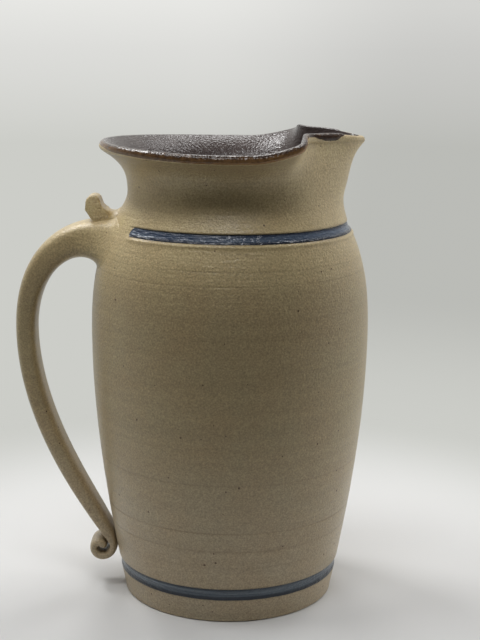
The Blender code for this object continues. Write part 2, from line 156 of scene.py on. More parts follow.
# Strap handle
SEAT_BITE = 0.00040
ROOT_HEIGHT = SHOULDER_HEIGHT - 0.0076
ROOT_BITE = 0.0080
ROOT_RISE = math.radians(8.6)
ROOT_PULL = 0.0370
ROOT_WIDTH = 0.0270
ROOT_UP = 0.0082
ROOT_DOWN = 0.0125
ROOT_TAPER = 1.4
ROOT_FLARE = 0.0145
ROOT_FLARE_ABOVE = 0.0020
ROOT_FLARE_BELOW = 0.0060
ROOT_FLARE_LENGTH = 0.0170
GRIP_DROP = 0.0513
GRIP_PULL_UP = 0.0310
GRIP_PULL_DOWN = 0.0584
GRIP_WIDTH = 0.0215
GRIP_THICKNESS = 0.0109
FINGER_GAP = 0.0300
TAIL_PULL = 0.0125
TAIL_WIDTH = 0.0185
TAIL_THICKNESS = 0.0047
TAIL_TAPER = 3.3
STRAP_SQUARENESS = 3.4
SCROLL_HEIGHT = 0.0220
SCROLL_START = math.radians(-16)
SCROLL_END = math.radians(325)
SCROLL_RADIUS = 0.0069
SCROLL_END_RADIUS = 0.0011
SCROLL_TIGHTEN = 1.2
SCROLL_END_THICKNESS = 0.0049

# Thumb rest
THUMB_WIDTH = 0.0190
THUMB_TIP_WIDTH = 0.0140
THUMB_FOOT = 0.0096
THUMB_OVERHANG = 0.0050
THUMB_OVERHANG_RISE = 0.0054
THUMB_TIP_RADIUS = 0.0040
THUMB_TIP_SETBACK = 0.0103
THUMB_TIP_RISE = 0.0092
THUMB_TIP_START = math.radians(-5)
THUMB_TIP_END = math.radians(145)
THUMB_SEAT_RADIUS = 0.0085
THUMB_SEAT_SETBACK = -0.0008
THUMB_SEAT_RISE = 0.0131
THUMB_SEAT_START = math.radians(-40)
THUMB_SEAT_END = math.radians(-172)
THUMB_BLEND = 0.0060
THUMB_DROOP = 0.85
THUMB_DROOP_POWER = 4
THUMB_DROOP_LENGTH = 0.0040
THUMB_RIDGE = 0.0011
THUMB_CREASE = 0.0022
THUMB_SEAT_BITE = 0.0003

# Pale surround of the pot, near and far, and the paper; past its front the paper is seen but throws no light
SURROUND_NEAR = "#CCCDC8"
SURROUND_FAR = "#DDDDDA"
SURROUND_FRONT = 0.2
SURROUND_LIGHT = 0.08
PAPER_HALF_SIZE = 28.0
PAPER_FRONT = 0.235

# Softboxes, all turned to the middle of the pot: name, place, width and height, power, seen in glints
POT_MIDDLE = Vector((0.0, 0.0, 0.15))
LAMPS = (
    ("back_left_top_softbox", (-0.5, 0.5, 1.0), (0.3, 0.3), 4.8, True),
    ("back_top_softbox", (0.0, 0.6, 1.0), (0.3, 0.3), 1.9, True),
    ("back_right_top_softbox", (0.4, 0.45, 1.05), (0.3, 0.3), 1.6, True),
    ("front_top_softbox", (-0.05, -0.48, 1.08), (0.5, 0.3), 3.3, True),
    ("left_top_softbox", (-0.42, -0.1, 1.1), (0.3, 0.3), 2.4, True),
    ("left_softbox", (-0.85, 0.0, 0.65), (0.8, 0.8), 1.75, False),
    ("right_softbox", (0.85, 0.0, 0.45), (0.8, 0.8), 1.45, False),
    ("right_back_softbox", (0.7, 0.5, 0.4), (0.8, 0.8), 4.5, False),
)

# The photograph's place, and the camera's tilt down and roll there; lens in millimetres
CAMERA_PLACE = (0.005463, -0.728043, 0.304053)
CAMERA_TILT = math.radians(11.902)
CAMERA_ROLL = math.radians(0.5517)
CAMERA_LENS = 76.787
CAMERA_SENSOR = 36.0

# Facets
COLUMNS = 192
COLUMN_GATHER = 0.40
ROW = 0.0018
FINE_ROW = 0.0003
FINE_MARGIN = 0.001
BEAD_MARGIN = 0.002
LINE_MARGIN = 0.0011
LIP_ROWS = 16
INNER_NECK_ROWS = 24
INNER_BELLY_ROWS = 40
FLOOR_ROWS = 6
BAND_ROWS = 14
STRAP_SIDES = 48
ROOT_RINGS = 150
ROOT_SHARE = 0.28
ARCH_RINGS = 40
BACK_RINGS = 56
SCROLL_RINGS = 56
SEAT_RINGS = 8
TIP_RINGS = 8
THUMB_FOOT_POINTS = 8
THUMB_OVERHANG_POINTS = 5
THUMB_TIP_POINTS = 14
THUMB_SEAT_POINTS = 30
THUMB_SLICES = 28
SMOOTH_ANGLE = math.radians(40)
MERGE_DISTANCE = 1e-7


def mix(start, end, share):
    """The value at a share of the way from start to end."""
    return start + (end - start) * share


def ease(share):
    """A share from 0 to 1 that starts and stops gently."""
    share = min(max(share, 0.0), 1.0)
    return share * share * (3.0 - 2.0 * share)


def soft_min(a, b, softness):
    """The smaller of two lengths, with the corner between them rounded."""
    overlap = max(softness - abs(a - b), 0.0) / softness
    return min(a, b) - overlap * overlap * softness / 4.0


def soft_max(a, b, softness):
    """The larger of two lengths, with the corner between them rounded."""
    return -soft_min(-a, -b, softness)


def span(start, end, steps):
    """Evenly spaced values after start, up to and with end."""
    return [mix(start, end, step / steps) for step in range(1, steps + 1)]


def wall_station(height):
    """Outside radius and lean of the thrown wall at a height."""
    below, above = STATIONS[0], STATIONS[1]
    for lower, upper in zip(STATIONS, STATIONS[1:]):
        if height >= lower[0]:
            below, above = lower, upper
    rise = above[0] - below[0]
    t = (height - below[0]) / rise
    step = above[1] - below[1]
    lean_in = below[2] * rise
    lean_out = above[2] * rise
    square = 3.0 * step - 2.0 * lean_in - lean_out
    cube = lean_in + lean_out - 2.0 * step
    radius = below[1] + t * (lean_in + t * (square + t * cube))
    lean = (lean_in + t * (2.0 * square + 3.0 * t * cube)) / rise
    return radius, lean


def wall_radius(height):
    """Outside radius of the thrown wall at a height."""
    return wall_station(height)[0]


def wall_point(height, depth=0.0):
    """Radius and height of the point that lies depth under the outside of the wall."""
    radius, lean = wall_station(height)
    slant = math.hypot(1.0, lean)
    return radius - depth / slant, height + depth * lean / slant


def lip_point(turn, cover):
    """Point on the round lip: turn goes from its outside over the top to its inside."""
    slant = math.atan2(RIM_LEAN, 1.0)
    radius, height = wall_point(RIM_HEIGHT, LIP / 2.0)
    reach = LIP / 2.0 + cover
    return radius + reach * math.cos(turn - slant), height + reach * math.sin(turn - slant)


CREST = lip_point(math.pi / 2.0 + math.atan2(RIM_LEAN, 1.0), 0.0)


def inside_points(cover):
    """Radius, height and level on the outside of points down the inside of the pot, or of a coat on it."""
    level = FLOOR + FLOOR_FILLET
    heights = [RIM_HEIGHT] + span(RIM_HEIGHT, SHOULDER_HEIGHT, INNER_NECK_ROWS)
    heights += span(SHOULDER_HEIGHT, level, INNER_BELLY_ROWS)
    points = []
    for height in heights:
        clay = mix(WALL, LIP, ease((height - NECK_HEIGHT) / (RIM_HEIGHT - NECK_HEIGHT)))
        points.append((*wall_point(height, clay + cover), height))
    corner = wall_point(level, WALL + FLOOR_FILLET)[0]
    bend = FLOOR_FILLET - cover
    for turn in span(0.0, math.pi / 2.0, FLOOR_ROWS):
        points.append((corner + bend * math.cos(turn), level - bend * math.sin(turn), level))
    points += [(corner / 2.0, FLOOR + cover, level), (0.0, FLOOR + cover, level)]
    return points


def mouth_radius(angle):
    """Plan of the lip: the thrown round, folded in on both sides of a beak that ends in the spout."""
    if abs(angle) >= math.pi / 2.0:
        return CREST[0]
    folded = soft_min(CREST[0], THROAT_SETBACK / math.cos(angle), FOLD_SOFTNESS)
    slope = (SPOUT_POINT - THROAT_SETBACK) / THROAT_HALF_WIDTH
    flank = SPOUT_POINT / (math.cos(angle) + slope * abs(math.sin(angle)))
    beak = soft_min(flank, SPOUT_REACH / math.cos(angle), SPOUT_ROUND)
    return soft_max(folded, beak, THROAT_SOFTNESS)


def lip_lift(angle):
    """How far the crest of the lip stands over its thrown height."""
    turn = abs(angle)
    spout = SPOUT_LIFT * ease((SPOUT_LIFT_END - turn) / (SPOUT_LIFT_END - SPOUT_LIFT_FULL))
    tip = TIP_DROP * math.exp(-(turn / TIP_DROP_SPREAD) ** 2)
    spout += FOLD_LIFT * math.exp(-((turn - FOLD_ANGLE) / FOLD_SPREAD) ** 2)
    handle = HANDLE_LIFT * ease((turn - math.pi / 2.0) / (math.pi / 2.0))
    waver = LIP_WAVER * noise.noise((2.0 * math.cos(angle), 2.0 * math.sin(angle), 5.0))
    return spout - tip + handle + waver - LIP_WAVER / 2.0


def pull_spout(point, level):
    """Carry a point of the thrown round, at a level of the wall, to where it lies once the lip is pulled.

    Both faces of the wall go with their level, so the clay keeps its thickness and the lip its round.
    """
    rise = (level - RIM_HEIGHT + SPOUT_DEPTH) / SPOUT_DEPTH
    if rise <= 0.0:
        return
    angle = math.atan2(point.y, point.x)
    pulled = math.hypot(point.x, point.y)
    bulge = SPOUT_BULGE * math.sin(math.pi * rise ** SPOUT_BULGE_SKEW)
    pinch = max((rise - SPOUT_PINCH_FROM) / (1.0 - SPOUT_PINCH_FROM), 0.0) ** SPOUT_PINCH_POWER
    pulled += (mouth_radius(angle) - CREST[0]) * pinch
    pulled += bulge * math.exp(-(angle / SPOUT_BULGE_SPREAD) ** 2)
    point.x = pulled * math.cos(angle)
    point.y = pulled * math.sin(angle)
    point.z += lip_lift(angle) * rise ** LIFT_POWER


def place_round(point, radius, height, angle):
    """Put a point at a radius, height and angle about the axis."""
    point.x = radius * math.cos(angle)
    point.y = radius * math.sin(angle)
    point.z = height


def gathered(point):
    """Angle of a spun point once the columns of facets stand closer at the spout."""
    column = math.atan2(point.y, point.x)
    return column - COLUMN_GATHER * math.sin(column)


def groove(height, angle, band):
    """Depth of one band's groove; the upper one runs out before the handle."""
    low, high = band
    depth = GROOVE_DEPTH * ease((height - low) / GROOVE_SLOPE + 0.2)
    depth *= ease((high - height) / GROOVE_SOFT + 0.5)
    if band is SHOULDER_BAND:
        stop = math.pi - BAND_STOP_LOW + GROOVE_FADE / 2.0
        depth *= ease((stop - abs(angle)) / GROOVE_FADE)
    return depth


def rib_lines(height, angle):
    """Depth of the lines that the rib left, which come and go round the pot."""
    east, north = math.cos(angle), math.sin(angle)
    depth = 0.0
    for level, cut in RIB_LINES:
        wander = RIB_LINE_WANDER * noise.noise((east, north, level * 900.0))
        strength = 0.65 + 0.7 * noise.noise((2.2 * east, 2.2 * north, level * 700.0))
        near = (height - level - wander) / RIB_LINE_WIDTH
        depth += cut * max(strength, 0.0) * math.exp(-near * near)
    return depth


def band_edge_shade(height, angle, band):
    """Share of the painted shade, a dark line along both edges of a band, which runs out with the upper
    band.
    """
    stops = (BAND_STOP_LOW, BAND_STOP_HIGH) if band is SHOULDER_BAND else (-GROOVE_FADE, -GROOVE_FADE)
    share = 0.0
    for edge, stop in zip(band, stops):
        near = math.exp(-((height - edge) / BAND_LINE_WIDTH) ** 2)
        share = max(share, near * ease((math.pi - stop - abs(angle)) / GROOVE_FADE))
    return BAND_LINE * share


def wheel_marks(height, angle):
    """Depth of the bead and of the finger rings under the smooth wall."""
    east, north = math.cos(angle), math.sin(angle)
    ring = noise.noise((height / FINGER_RING_SPACING, 0.7 * east, 0.7 * north))
    ring += 0.6 * noise.noise((2.3 * height / FINGER_RING_SPACING, 0.9 * east, 0.9 * north))
    bead = math.exp(-((height - BEAD_HEIGHT) / BEAD_WIDTH) ** 2)
    stop = math.pi - BAND_STOP_LOW + GROOVE_FADE / 2.0
    return FINGER_RING * (ring + 2.2) - BEAD_RISE * bead * ease((stop - abs(angle)) / GROOVE_FADE)


def glaze_edge(angle):
    """Turn of the lip at which the dark glaze ends."""
    degrees = abs(math.degrees(angle))
    for (near, start), (far, end) in zip(GLAZE_EDGE, GLAZE_EDGE[1:]):
        if near <= degrees <= far:
            return math.radians(mix(start, end, ease((degrees - near) / (far - near))))
    return 0.0


def spin_rows(rows, closed=False, half_turn=math.pi):
    """Spin rows of (radius, height, level, mark) about the axis; points keep their level and mark."""
    builder = bmesh.new()
    builder.verts.layers.float.new("level")
    builder.verts.layers.float.new("mark")
    keep, mark = builder.verts.layers.float["level"], builder.verts.layers.float["mark"]
    wire = []
    for radius, height, level, value in rows:
        vert = builder.verts.new((radius, 0.0, height))
        vert[keep], vert[mark] = level, value
        wire.append(vert)
    pairs = list(zip(wire, wire[1:]))
    if closed:
        pairs.append((wire[-1], wire[0]))
    edges = [builder.edges.new(pair) for pair in pairs]
    whole = half_turn == math.pi
    if not whole:
        bmesh.ops.rotate(builder, verts=wire, cent=(0, 0, 0), matrix=Matrix.Rotation(-half_turn, 3, "Z"))
        bmesh.ops.contextual_create(builder, geom=edges)
    bmesh.ops.spin(
        builder,
        geom=builder.verts[:] + builder.edges[:] + builder.faces[:],
        cent=(0.0, 0.0, 0.0),
        axis=(0.0, 0.0, 1.0),
        angle=2.0 * half_turn,
        steps=round(COLUMNS * half_turn / math.pi),
        use_merge=whole,
    )
    return builder, keep, mark


def finish_piece(name, builder, material, node):
    """Close a piece, shade it smooth, give it its finish, hang it on the root, and hide the solid that it
    stands for.
    """
    bmesh.ops.remove_doubles(builder, verts=builder.verts, dist=MERGE_DISTANCE)
    bmesh.ops.recalc_face_normals(builder, faces=builder.faces)
    # A negative volume means that the recalculation left the shell inside out
    if builder.calc_volume(signed=True) < 0.0:
        bmesh.ops.reverse_faces(builder, faces=builder.faces)
    mesh = bpy.data.meshes.new(name)
    builder.to_mesh(mesh)
    builder.free()
    mesh.shade_smooth()
    mesh.set_sharp_from_angle(angle=SMOOTH_ANGLE)
    mesh.materials.append(material)
    piece = bpy.data.objects.new(name, mesh)
    bpy.context.collection.objects.link(piece)
    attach(piece, "root")
    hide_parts(node)


def wall_rows():
    """Heights of the rows of facets up the outside, close together where a tool left an edge."""
    rows = [FOOT_BEVEL + step * ROW for step in range(int((RIM_HEIGHT - FOOT_BEVEL) / ROW))] + [RIM_HEIGHT]
    zones = [(FOOT_BAND[0] - FINE_MARGIN, FOOT_BAND[1] + FINE_MARGIN)]
    zones += [(BEAD_HEIGHT - BEAD_MARGIN, SHOULDER_BAND[1] + FINE_MARGIN)]
    zones += [(level - LINE_MARGIN, level + LINE_MARGIN) for level, _ in RIB_LINES]
    for low, high in zones:
        rows += [low + step * FINE_ROW for step in range(int((high - low) / FINE_ROW) + 1)]
    kept = []
    for height in sorted(rows):
        if not kept or height - kept[-1] > FINE_ROW / 2.0:
            kept.append(height)
    kept[-1] = RIM_HEIGHT
    return kept


def make_pot(material):
    """Foot, belly, shoulder, neck and lip, thrown in one piece."""
    plain, worked = 0.0, 1.0
    rows = [(0.0, 0.0, 0.0, plain), (FOOT_RADIUS / 2.0, 0.0, 0.0, plain)]
    round_in = FOOT_RADIUS - FOOT_BEVEL
    for turn in [0.0] + span(0.0, math.pi / 2.0, 4)[:-1]:
        radius = round_in + (wall_radius(FOOT_BEVEL) - round_in) * math.sin(turn)
        rows.append((radius, FOOT_BEVEL * (1.0 - math.cos(turn)), 0.0, plain))
    rows += [(wall_radius(height), height, height, worked) for height in wall_rows()]
    rows += [(*lip_point(turn, 0.0), RIM_HEIGHT, plain) for turn in span(0.0, math.pi, LIP_ROWS)[:-1]]
    rows += [(*point, plain) for point in inside_points(0.0)]
    builder, keep, mark = spin_rows(rows)
    painted_line_shade = builder.verts.layers.float.new("painted_line_shade")
    iron = builder.verts.layers.float.new("iron")
    for vert in builder.verts:
        angle, level = gathered(vert.co), vert[keep]
        radius, height = math.hypot(vert.co.x, vert.co.y), vert.co.z
        if vert[mark] == worked:
            lines = rib_lines(level, angle)
            cut = groove(level, angle, FOOT_BAND) + groove(level, angle, SHOULDER_BAND)
            fade = ease((RIM_HEIGHT - level) / MARKS_FADE)
            radius, height = wall_point(level, (lines + wheel_marks(level, angle)) * fade + cut)
            # Painted shade: the clay darkens in the rib lines, with their depth, and along both edges of
            # each band
            vert[painted_line_shade] = lines / RIB_LINES[2][1]
            vert[painted_line_shade] += band_edge_shade(level, angle, FOOT_BAND) + band_edge_shade(level, angle, SHOULDER_BAND)
            # Iron-brown tint that fades down from the lip, partly painted shade under the flared rim, and
            # none at the spout
            stain_and_shade = ease(1.0 - (RIM_HEIGHT - level) / STAIN_AND_SHADE_REACH)
            vert[iron] = stain_and_shade * ease((abs(angle) - STAIN_AND_SHADE_START) / STAIN_AND_SHADE_FADE)
        place_round(vert.co, radius, height, angle)
        pull_spout(vert.co, level)
    finish_piece("thrown_pot", builder, material, "thrown_body")


def make_lining(material):
    """Dark glaze on the whole inside, run over the lip and thinning out to its edge."""
    turns = [0.0] + span(0.0, math.pi, LIP_ROWS)[:-1]
    below_lip = -1.0
    rows = []
    for cover in (GLAZE_SEAT, GLAZE_SEAT + GLAZE):
        coat = [(*lip_point(turn, cover), RIM_HEIGHT, turn) for turn in turns]
        coat += [(*point, below_lip) for point in inside_points(cover)]
        rows = rows + coat if rows else coat[::-1]
    builder, keep, mark = spin_rows(rows)
    brown = builder.verts.layers.float.new("lip_brown")
    rust = builder.verts.layers.float.new("rust")
    middle = lip_point(0.0, -LIP / 2.0)
    for vert in builder.verts:
        angle = gathered(vert.co)
        radius, height = math.hypot(vert.co.x, vert.co.y), vert.co.z
        if vert[mark] != below_lip:
            cover = math.hypot(radius - middle[0], height - middle[1]) - LIP / 2.0
            edge = glaze_edge(angle)
            turn = mix(edge, math.pi, vert[mark] / math.pi)
            thin = ease((turn - edge) / GLAZE_THIN_TURN)
            radius, height = lip_point(turn, mix(min(cover, GLAZE_SEAT * 2.0), cover, thin))
            rusty = ease((abs(angle) - RUST_START) / RUST_FADE)
            rusty *= mix(1.0, FAR_RUST, ease((abs(angle) - FAR_RUST_START) / FAR_RUST_FADE))
            vert[brown] = ease((LIP_BROWN_END - turn) / LIP_BROWN_FADE)
            vert[rust] = ease(1.0 - (turn - edge) / RUST_TURN) * rusty
        place_round(vert.co, radius, height, angle)
        pull_spout(vert.co, vert[keep])
    rims = [edge for edge in builder.edges if edge.is_boundary]
    bmesh.ops.bridge_loops(builder, edges=rims)
    finish_piece("glaze_lining", builder, material, "liner_glaze")


def make_band(name, band, material, node):
    """A coat of blue slip brushed into one groove."""
    low, high = band
    heights = [low] + span(low, high, BAND_ROWS)
    rows = [(*wall_point(height), height, 1.0) for height in heights]
    rows += [(*wall_point(height, GROOVE_DEPTH), height, 0.0) for height in heights[::-1]]
    stop = (BAND_STOP_LOW + BAND_STOP_HIGH) / 2.0
    half_turn = math.pi if band is FOOT_BAND else math.pi - stop
    builder, keep, mark = spin_rows(rows, closed=True, half_turn=half_turn)
    across = builder.verts.layers.float.new("across")
    for vert in builder.verts:
        angle = gathered(vert.co) if band is FOOT_BAND else math.atan2(vert.co.y, vert.co.x)
        level = vert[keep]
        share = (level - low) / (high - low)
        vert[across] = share
        if band is SHOULDER_BAND:
            end = mix(BAND_STOP_LOW, BAND_STOP_HIGH, share * share) + BAND_CORNER * (1.0 - share) ** 6
            angle *= (math.pi - end) / half_turn
        waver = BAND_WAVER * noise.noise((9.0 * math.cos(angle), 9.0 * math.sin(angle), 3.0 * round(share)))
        level += waver * abs(2.0 * share - 1.0)
        coat = SLIP * min(1.0, 6.0 * share, 6.0 * (1.0 - share)) * vert[mark]
        radius, height = wall_point(level, groove(level, angle, band) - SLIP_SEAT - coat)
        place_round(vert.co, radius, height, angle)
        pull_spout(vert.co, level)
    finish_piece(name, builder, material, node)


def bezier(points, t):
    """Point and direction on a cubic curve."""
    a, b, c, d = points
    s = 1.0 - t
    place = a * s ** 3 + b * (3.0 * s * s * t) + c * (3.0 * s * t * t) + d * t ** 3
    along = (b - a) * (s * s) + (c - b) * (2.0 * s * t) + (d - c) * (t * t)
    return place, along.normalized()


def scroll_point(turn):
    """Point and direction on the rolled end, which winds out from the wall, down, up and in."""
    share = (turn - SCROLL_START) / (SCROLL_END - SCROLL_START)
    radius = mix(SCROLL_RADIUS, SCROLL_END_RADIUS, share ** SCROLL_TIGHTEN)
    tighten = (SCROLL_END_RADIUS - SCROLL_RADIUS) / (SCROLL_END - SCROLL_START)
    tighten *= SCROLL_TIGHTEN * share ** (SCROLL_TIGHTEN - 1.0)
    outward = Vector((math.cos(turn), 0.0, -math.sin(turn)))
    onward = Vector((-math.sin(turn), 0.0, -math.cos(turn)))
    wall_side = wall_radius(SCROLL_HEIGHT) + TAIL_THICKNESS / 2.0
    centre = Vector((-wall_side - SCROLL_RADIUS, 0.0, SCROLL_HEIGHT))
    return centre + outward * radius, (onward * radius + outward * tighten).normalized()


def strap_sections():
    """Sections along the strap: place, direction, half width, thickness to its two faces, and flare."""
    root = Vector((-wall_radius(ROOT_HEIGHT) + ROOT_BITE, 0.0, ROOT_HEIGHT))
    leave = Vector((-math.cos(ROOT_RISE), 0.0, math.sin(ROOT_RISE)))
    grip = Vector((-BELLY_RADIUS - FINGER_GAP - GRIP_THICKNESS / 2.0, 0.0, ROOT_HEIGHT - GRIP_DROP))
    up = Vector((0.0, 0.0, 1.0))
    tail, tail_along = scroll_point(SCROLL_START)
    arch = (root, root + leave * ROOT_PULL, grip + up * GRIP_PULL_UP, grip)
    back = (grip, grip - up * GRIP_PULL_DOWN, tail - tail_along * TAIL_PULL, tail)
    sections = []
    for t in [0.0] + span(0.0, ROOT_SHARE, ROOT_RINGS) + span(ROOT_SHARE, 1.0, ARCH_RINGS):
        place, along = bezier(arch, t)
        thick = (1.0 - t) ** ROOT_TAPER
        half_width = mix(GRIP_WIDTH, ROOT_WIDTH, thick) / 2.0
        to_back = mix(GRIP_THICKNESS / 2.0, ROOT_UP, thick)
        to_palm = mix(GRIP_THICKNESS / 2.0, ROOT_DOWN, thick)
        sections.append((place, along, half_width, to_back, to_palm, 1.0))
    for t in span(0.0, 1.0, BACK_RINGS):
        place, along = bezier(back, t)
        half_width = mix(GRIP_WIDTH, TAIL_WIDTH, t) / 2.0
        half = mix(GRIP_THICKNESS, TAIL_THICKNESS, t ** TAIL_TAPER) / 2.0
        sections.append((place, along, half_width, half, half, 0.0))
    for turn in span(SCROLL_START, SCROLL_END, SCROLL_RINGS):
        place, along = scroll_point(turn)
        share = (turn - SCROLL_START) / (SCROLL_END - SCROLL_START)
        half = mix(TAIL_THICKNESS, SCROLL_END_THICKNESS, share) / 2.0
        sections.append((place, along, TAIL_WIDTH / 2.0, half, half, 0.0))
    return sections


def soft_corner(value):
    """One side of a circle's outline drawn out towards a square."""
    return math.copysign(abs(value) ** (2.0 / STRAP_SQUARENESS), value)


def strap_ring(section, size=1.0):
    """Soft-cornered outline of the strap at one section; near the wall it runs out in a fillet."""
    place, along, half_width, to_back, to_palm, flare = section
    back = Vector((along.z, 0.0, -along.x))
    ring = []
    for side in range(STRAP_SIDES):
        turn = math.tau * side / STRAP_SIDES
        across = soft_corner(math.cos(turn))
        out = soft_corner(math.sin(turn))
        depth = to_back if out > 0.0 else to_palm
        edge = place + Vector((0.0, across * half_width, 0.0)) + back * (out * depth)
        clearance = math.hypot(edge.x, edge.y) - wall_radius(edge.z)
        near = min(max(1.0 - clearance / ROOT_FLARE_LENGTH, 0.0), 1.0)
        fillet = flare * (1.0 - math.sqrt(1.0 - near * near))
        lift = max(out, 0.0) * ROOT_FLARE_ABOVE + min(out, 0.0) * ROOT_FLARE_BELOW
        spread = Vector((0.0, across * ROOT_FLARE, 0.0)) + back * lift
        point = place + (edge - place + spread * fillet) * size
        if fillet > 0.0:
            stand_off = wall_radius(point.z) + clearance
            point.x = -math.sqrt(stand_off * stand_off - point.y * point.y)
        ring.append(point)
    return ring


def loft(rings):
    """Skin a row of rings, each extruded from the last, and close both ends."""
    builder = bmesh.new()
    row = [builder.verts.new(place) for place in rings[0]]
    edges = [builder.edges.new(pair) for pair in zip(row, row[1:] + row[:1])]
    for ring in rings[1:]:
        grown = bmesh.ops.extrude_edge_only(builder, edges=edges)["geom"]
        edges = [item for item in grown if isinstance(item, bmesh.types.BMEdge) and item.is_boundary]
        fresh = {item for item in grown if isinstance(item, bmesh.types.BMVert)}
        linked = [[edge.other_vert(vert) for edge in vert.link_edges] for vert in row]
        row = [next(vert for vert in near if vert in fresh) for near in linked]
        for vert, place in zip(row, ring):
            vert.co = place
    ends = [edge for edge in builder.edges if edge.is_boundary]
    bmesh.ops.edgeloop_fill(builder, edges=ends)
    return builder


def press_on_wall(builder):
    """Push what would lie deep in the wall out to just under the wall's face."""
    for vert in builder.verts:
        radius = math.hypot(vert.co.x, vert.co.y)
        seat = wall_radius(vert.co.z) - SEAT_BITE
        if radius < seat:
            vert.co.x *= seat / radius
            vert.co.y *= seat / radius


def make_handle(material):
    """Pulled strap, luted to the shoulder and to the lower wall, with its end rolled up."""
    sections = strap_sections()
    rings = [strap_ring(sections[0], size) for size in span(0.0, 1.0, SEAT_RINGS)]
    rings += [strap_ring(section) for section in sections[1:]]
    last = sections[-1]
    for turn in span(0.0, math.pi / 2.0, TIP_RINGS)[:-1]:
        place = last[0] + last[1] * (last[3] * math.sin(turn))
        rings.append(strap_ring((place, *last[1:]), math.cos(turn)))
    builder = loft(rings)
    press_on_wall(builder)
    finish_piece("strap_handle", builder, material, "handle")


def strap_crown(flare):
    """Outlines of the strap's back over its root, from the wall outwards, with its fillet or without."""
    sections = strap_sections()[:ROOT_RINGS + ARCH_RINGS // 2]
    return [strap_ring((*section[:5], flare))[:STRAP_SIDES // 2 + 1] for section in sections]


def crown_height(crown, distance, across):
    """Height of the strap's back at a distance from the axis and a place across it."""
    line = []
    for back in crown:
        place = back[0]
        for one, other in zip(back, back[1:]):
            if other.y <= across <= one.y:
                place = one.lerp(other, (one.y - across) / (one.y - other.y))
        line.append(place)
    for near, far in zip(line, line[1:]):
        if -near.x <= distance <= -far.x:
            return mix(near.z, far.z, (distance + near.x) / (near.x - far.x))
    return line[0].z


def thumb_slice(crown, level, across):
    """Side outline of the thumb rest at a share of its half width: distance from the axis, and height."""
    corner = wall_radius(ROOT_HEIGHT + ROOT_UP)
    place = across * THUMB_WIDTH / 2.0
    outline = []
    inside = corner + THUMB_SEAT_SETBACK + THUMB_SEAT_RADIUS * math.cos(THUMB_SEAT_END)
    for distance in [inside] + span(corner, corner + THUMB_FOOT, THUMB_FOOT_POINTS):
        outline.append((distance, crown_height(crown, distance, place) - THUMB_SEAT_BITE))
    heel = Vector((corner + THUMB_FOOT, crown_height(crown, corner + THUMB_FOOT, place) - THUMB_SEAT_BITE))
    knee = Vector((corner + THUMB_FOOT + THUMB_OVERHANG, level + THUMB_OVERHANG_RISE))
    for share in span(0.0, 1.0, THUMB_OVERHANG_POINTS):
        outline.append(tuple(heel.lerp(knee, share)))
    for turn in span(THUMB_TIP_START, THUMB_TIP_END, THUMB_TIP_POINTS):
        distance = corner + THUMB_TIP_SETBACK + THUMB_TIP_RADIUS * math.cos(turn)
        outline.append((distance, level + THUMB_TIP_RISE + THUMB_TIP_RADIUS * math.sin(turn)))
    for share in [0.0] + span(0.0, 1.0, THUMB_SEAT_POINTS):
        turn = mix(THUMB_SEAT_START, THUMB_SEAT_END, share)
        distance = THUMB_SEAT_SETBACK + THUMB_SEAT_RADIUS * math.cos(turn)
        rise = THUMB_SEAT_RISE + THUMB_SEAT_RADIUS * math.sin(turn)
        droop = THUMB_DROOP * across ** THUMB_DROOP_POWER * (1.0 - ease(distance / THUMB_DROOP_LENGTH))
        height = level + rise * (1.0 - droop)
        wall = math.sqrt((wall_radius(height) - SEAT_BITE) ** 2 - place ** 2)
        blend = THUMB_BLEND * (1.0 - ease((share - 0.5) / 0.5)) + THUMB_SEAT_BITE
        outline.append((soft_max(corner + distance, wall, blend), height))
    return outline


def make_thumb_rest(material):
    """Tongue of clay that leans back over the root of the handle, narrower at its tip."""
    half = THUMB_WIDTH / 2.0
    slim = THUMB_TIP_WIDTH / THUMB_WIDTH
    crown = strap_crown(1.0)
    low = crown_height(strap_crown(0.0), wall_radius(ROOT_HEIGHT + ROOT_UP), 0.0)
    rings = []
    for across in [-1.0] + span(-1.0, 1.0, THUMB_SLICES)[1:-2] + [1.0]:
        ring = []
        for distance, height in thumb_slice(crown, low, across):
            width = half * mix(1.0, slim, ease((height - low) / (THUMB_TIP_RISE + THUMB_TIP_RADIUS)))
            ring.append(Vector((-distance, across * width, height)))
        rings.append(ring)
    builder = loft(rings)
    ends = [face for face in builder.faces if len(face.verts) > 4]
    rims = [edge for face in ends for edge in face.edges]
    ridges = [edge for edge in rims if min(vert.co.z for vert in edge.verts) > low + THUMB_CREASE]
    bmesh.ops.bevel(
        builder, geom=ridges, offset=THUMB_RIDGE, affect="EDGES", segments=3, profile=0.5, material=-1
    )
    press_on_wall(builder)
    finish_piece("thumb_rest_tongue", builder, material, "thumb_rest")


def linear(code):
    """A colour written as sRGB hex, as linear light with full cover."""
    levels = [int(code[place:place + 2], 16) / 255.0 for place in (1, 3, 5)]
    return (*[v / 12.92 if v <= 0.04045 else ((v + 0.055) / 1.055) ** 2.4 for v in levels], 1.0)


def per(size):
    """Texture scale at which one wave of a pattern is this long, in metres."""
    return 1.0 / size


def add_node(tree, kind, inputs=None, **settings):
    """Add a node with its settings; each input gets a plain value or a link from another node's output."""
    node = tree.nodes.new(kind)
    for name, value in settings.items():
        setattr(node, name, value)
    for name, value in (inputs or {}).items():
        if isinstance(value, bpy.types.NodeSocket):
            tree.links.new(value, node.inputs[name])
        else:
            node.inputs[name].default_value = value
    return node


# Sockets of a Mix node that blends colours
SHARE, FIRST, SECOND, BLEND = 0, 6, 7, 2


def new_surface(name):
    """An empty material with its shader and output."""
    material = bpy.data.materials.new(name)
    material.use_nodes = True
    tree = material.node_tree
    return material, tree, tree.nodes["Principled BSDF"]


